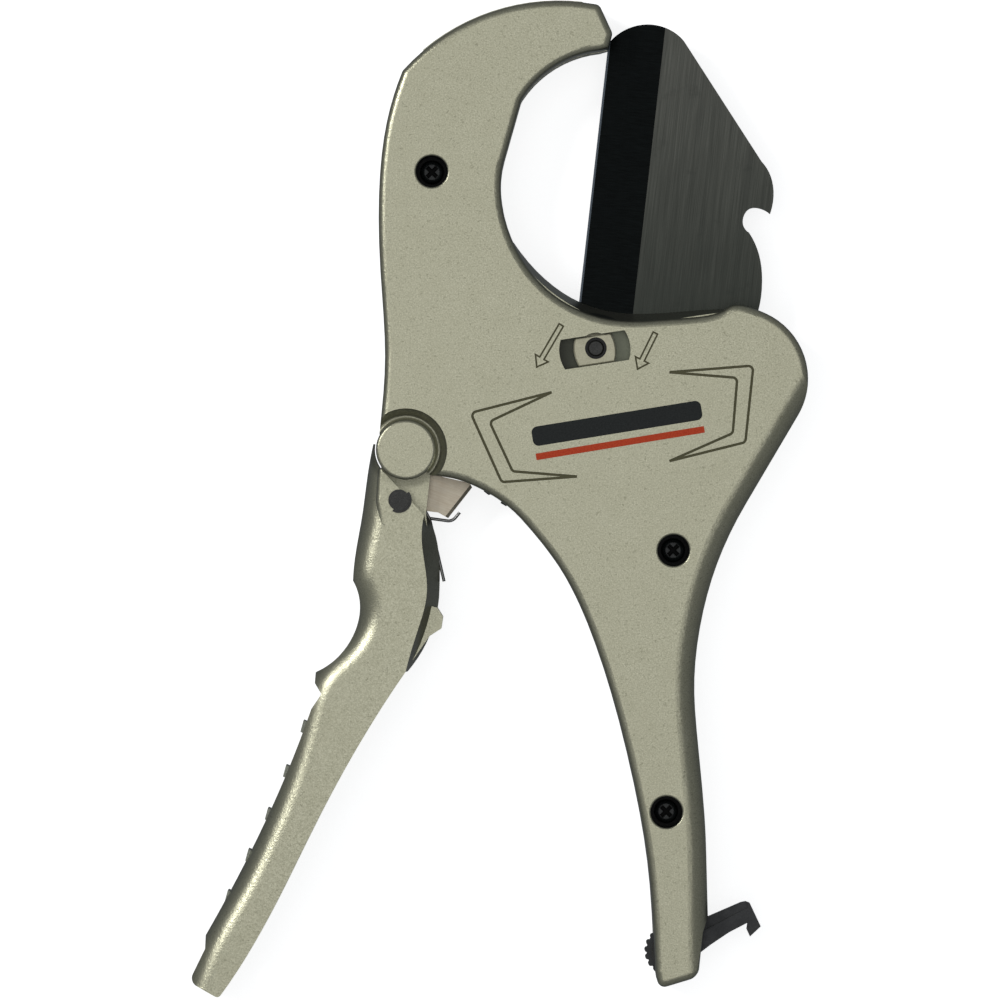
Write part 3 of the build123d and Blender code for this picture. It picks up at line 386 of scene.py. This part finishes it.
def drawn_wire():
    """Spring wire: grey, with faint draw marks and a heat tint."""
    f = Finish("drawn_wire", metallic=1.0)
    marks = f.noise(0.25 * MM, detail=2)
    tint = f.noise(5.0 * MM, detail=1)
    shade = f.mix(f.ramp(marks, 0.3, 0.7), rgb(118, 118, 116), rgb(158, 158, 156))
    f.colour(f.mix(f.ramp(tint, 0.5, 0.8, 0.0, 0.4), shade, rgb(132, 118, 98)))
    f.roughness(f.ramp(marks, 0.3, 0.7, 0.26, 0.38))
    f.bump(marks, 0.01 * MM, 0.5)
    return f.material


def stamped_steel():
    """The pawls: warm plated steel with a rolled grain, and painted shade darkening their steep
    sheared edges.
    """
    f = Finish("stamped_steel", metallic=0.6)
    rolled = f.noise(0.3 * MM, detail=2, coords=f.turned(radians(20), (0.05, 1, 1)))
    patch = f.noise(3.0 * MM, detail=2)
    shade = f.mix(f.ramp(rolled, 0.3, 0.7), rgb(196, 184, 162), rgb(222, 212, 192))
    shade = f.mix(f.ramp(patch, 0.45, 0.7, 0.0, 0.35), shade, rgb(176, 160, 138))
    edge_shade = f.ramp(f.math("ABSOLUTE", f.upright()), 0.5, 0.2)
    f.colour(f.mix(edge_shade, shade, rgb(92, 82, 72)))
    f.roughness(f.ramp(rolled, 0.3, 0.7, 0.3, 0.42))
    f.bump(rolled, 0.015 * MM, 0.5)
    return f.material


def screw_black():
    """Black screws: a glossy worn head over a cross recess that is painted near black, as painted
    shade.
    """
    f = Finish("screw_black", metallic=0.1)
    fine = f.noise(0.3 * MM, detail=3, roughness=0.6)
    shade = f.mix(f.ramp(fine, 0.3, 0.7), rgb(22, 26, 26), rgb(40, 44, 44))
    recess_shade = f.ramp(f.axis("Z"), SCREW_TOP - 0.3 * MM, SCREW_TOP - 1.2 * MM)
    f.colour(f.mix(recess_shade, shade, rgb(2, 2, 2)))
    f.specular(f.ramp(recess_shade, 0.0, 1.0, 0.4, 0.05))
    f.roughness(f.ramp(fine, 0.3, 0.7, 0.2, 0.3))
    f.bump(fine, 0.02 * MM, 0.4)
    return f.material


def enamel(name, dark, light):
    """A filled marking: slightly uneven, semi-gloss enamel."""
    f = Finish(name)
    f.specular(0.2)
    grain = f.noise(0.5 * MM, detail=3, roughness=0.6)
    f.colour(f.mix(f.ramp(grain, 0.3, 0.7), dark, light))
    f.roughness(f.ramp(grain, 0.3, 0.7, 0.34, 0.46))
    f.bump(grain, 0.03 * MM, 0.5)
    return f.material


def table_top():
    """A pale table, lit a little from within as a light table is."""
    f = Finish("table_top", roughness=0.7)
    grain = f.noise(2.0 * MM, detail=2)
    f.colour(f.mix(grain, rgb(242, 242, 243), rgb(250, 250, 250)))
    f.shader.inputs["Emission Color"].default_value = (1.0, 1.0, 1.0, 1.0)
    f.shader.inputs["Emission Strength"].default_value = 0.8
    return f.material


FINISHES = {
    "painted_casting": cast_paint(),
    "blade_steel": blade_oxide(),
    "black_steel": screw_black(),
    "pin_steel": plain_metal("pin_steel", rgb(48, 48, 46), rgb(72, 72, 70), 0.6, 0.36),
    "button_metal": button_plate(),
    "spring_steel": drawn_wire(),
    "bright_steel": stamped_steel(),
    "latch_black": plain_metal("latch_coat", rgb(48, 49, 50), rgb(66, 67, 68), 0.3, 0.42),
}

for row in frame["record"]["subparts"]:
    mesh = frame["nodes"][row["node"]].data
    mesh.materials.clear()
    mesh.materials.append(FINISHES[row["material_slot"]])


# ---- Springs --------------------------------------------------------------------------------


def stand_in(node):
    """A copy of a CAD spring, shown in the node's place while the node is hidden."""
    source = frame["nodes"][node]
    copy = bpy.data.objects.new(node + "_flexing", source.data.copy())
    copy.matrix_world = source.matrix_world
    bpy.context.scene.collection.objects.link(copy)
    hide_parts(node)
    return copy


def twisting(node, still_end_up):
    """A coil wound about Z, shown by a copy whose placing is baked into its mesh. Its ends are
    worked out but not used.
    """
    low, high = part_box(node)
    axis = (low + high) / 2
    ends = [Vector((axis.x, axis.y, level)) for level in (high.z - COIL_WIRE, low.z + COIL_WIRE)]
    if not still_end_up:
        ends.reverse()
    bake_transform(stand_in(node))


twisting("lever_return_spring", still_end_up=False)
twisting("drive_pawl_spring", still_end_up=True)
twisting("holding_pawl_spring", still_end_up=True)

pressed = stand_in("button_spring")
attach(pressed, "body")
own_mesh(pressed)


# ---- Markings -------------------------------------------------------------------------------

INLAY_DEPTH = 0.3 * MM                              # how far a marking reaches into the face
INLAY_RISE = 0.08 * MM                              # how far it stands out of the face
INLAY_EDGE = 0.05 * MM                              # its softened edge
CORNER_STEPS = 6


def bar_outline(start, end, width, corner):
    """The points round a bar with rounded corners that runs from start to end."""
    along = (end - start).normalized()
    across = Vector((-along.y, along.x, 0))
    half = width / 2 - corner
    reach = (end - start).length / 2 - corner
    middle = (start + end) / 2
    outline = []
    for quarter, (x, y) in enumerate(((1, 1), (-1, 1), (-1, -1), (1, -1))):
        for step in range(CORNER_STEPS + 1):
            angle = radians(90 * quarter + 90 * step / CORNER_STEPS)
            outline.append(
                middle
                + along * (x * reach + corner * cos(angle))
                + across * (y * half + corner * sin(angle))
            )
    return outline


def inlay(name, start, end, width, round_share, material):
    """A thin bar of enamel on the front face. Its corners round off this share of its width."""
    outline = bar_outline(
        Vector(start) * MM, Vector(end) * MM, width * MM, width * MM * round_share
    )
    build = bmesh.new()
    bottom = [build.verts.new((p.x, p.y, FACE_TOP - INLAY_DEPTH)) for p in outline]
    top = [build.verts.new((p.x, p.y, FACE_TOP + INLAY_RISE)) for p in outline]
    build.faces.new(list(reversed(bottom)))
    build.faces.new(top)
    for i in range(len(outline)):
        j = (i + 1) % len(outline)
        build.faces.new((bottom[i], bottom[j], top[j], top[i]))
    mesh = bpy.data.meshes.new(name)
    build.to_mesh(mesh)
    build.free()
    mesh.materials.append(material)
    piece = bpy.data.objects.new(name, mesh)
    bpy.context.scene.collection.objects.link(piece)
    bevel = piece.modifiers.new("soft_edge", "BEVEL")
    bevel.width = INLAY_EDGE
    bevel.segments = 2
    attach(piece, "body")


inlay(
    "marking_stripe", (-17.1, -31.1, 0), (31.0, -23.2, 0), 1.9, 0.1,
    enamel("red_enamel", rgb(204, 60, 26), rgb(222, 84, 44)),
)
inlay(
    "marking_bar", (-18.2, -25.4, 0), (30.2, -17.6, 0), 5.6, 0.3,
    enamel("dark_enamel", rgb(28, 32, 32), rgb(44, 48, 47)),
)


# ---- Floor, lights and camera ---------------------------------------------------------------

FLOOR_REACH = 3.0                                   # from the origin to the floor's sides
FLOOR_GAP = 0.1 * MM                                # between the tool's back and the floor


def floor():
    """The table: a square that the camera and shadows see, but reflections don't."""
    build = bmesh.new()
    corners = [
        build.verts.new((x * FLOOR_REACH, y * FLOOR_REACH, FACE_BACK - FLOOR_GAP))
        for x, y in ((-1, -1), (1, -1), (1, 1), (-1, 1))
    ]
    build.faces.new(corners)
    mesh = bpy.data.meshes.new("floor")
    build.to_mesh(mesh)
    build.free()
    mesh.materials.append(table_top())
    made = bpy.data.objects.new("floor", mesh)
    bpy.context.scene.collection.objects.link(made)
    made.visible_diffuse = False
    made.visible_glossy = False


def softbox(name, place, size, power):
    """A square area light at this place, aimed at the middle of the tool."""
    light = bpy.data.lights.new(name, "AREA")
    light.size = size
    light.energy = power
    made = bpy.data.objects.new(name, light)
    made.location = place
    made.rotation_mode = "QUATERNION"
    made.rotation_quaternion = (CENTRE - Vector(place)).to_track_quat("-Z", "Y")
    bpy.context.scene.collection.objects.link(made)


def surroundings(strength):
    """An even, slightly cool light from all round."""
    world = bpy.data.worlds.new("surroundings")
    bpy.context.scene.world = world
    world.use_nodes = True
    background = world.node_tree.nodes["Background"]
    background.inputs["Color"].default_value = (0.9, 0.95, 1.0, 1.0)
    background.inputs["Strength"].default_value = strength


def camera(centre, height, frame_width):
    """A camera that looks straight down and takes in frame_width at the front face."""
    data = bpy.data.cameras.new("camera")
    data.lens = data.sensor_width * (height - FACE_TOP) / frame_width
    made = bpy.data.objects.new("camera", data)
    made.location = (centre[0], centre[1], height)
    bpy.context.scene.collection.objects.link(made)
    bpy.context.scene.camera = made


floor()
softbox("key", place=(-0.85, 0.45, 1.0), size=0.4, power=5.5)
softbox("overhead", place=(-0.03, -0.04, 1.5), size=1.1, power=3.0)
surroundings(strength=0.16)
camera(centre=(-27.4 * MM, -43.4 * MM), height=2.6, frame_width=285.7 * MM)
bpy.context.scene.view_settings.view_transform = "Standard"
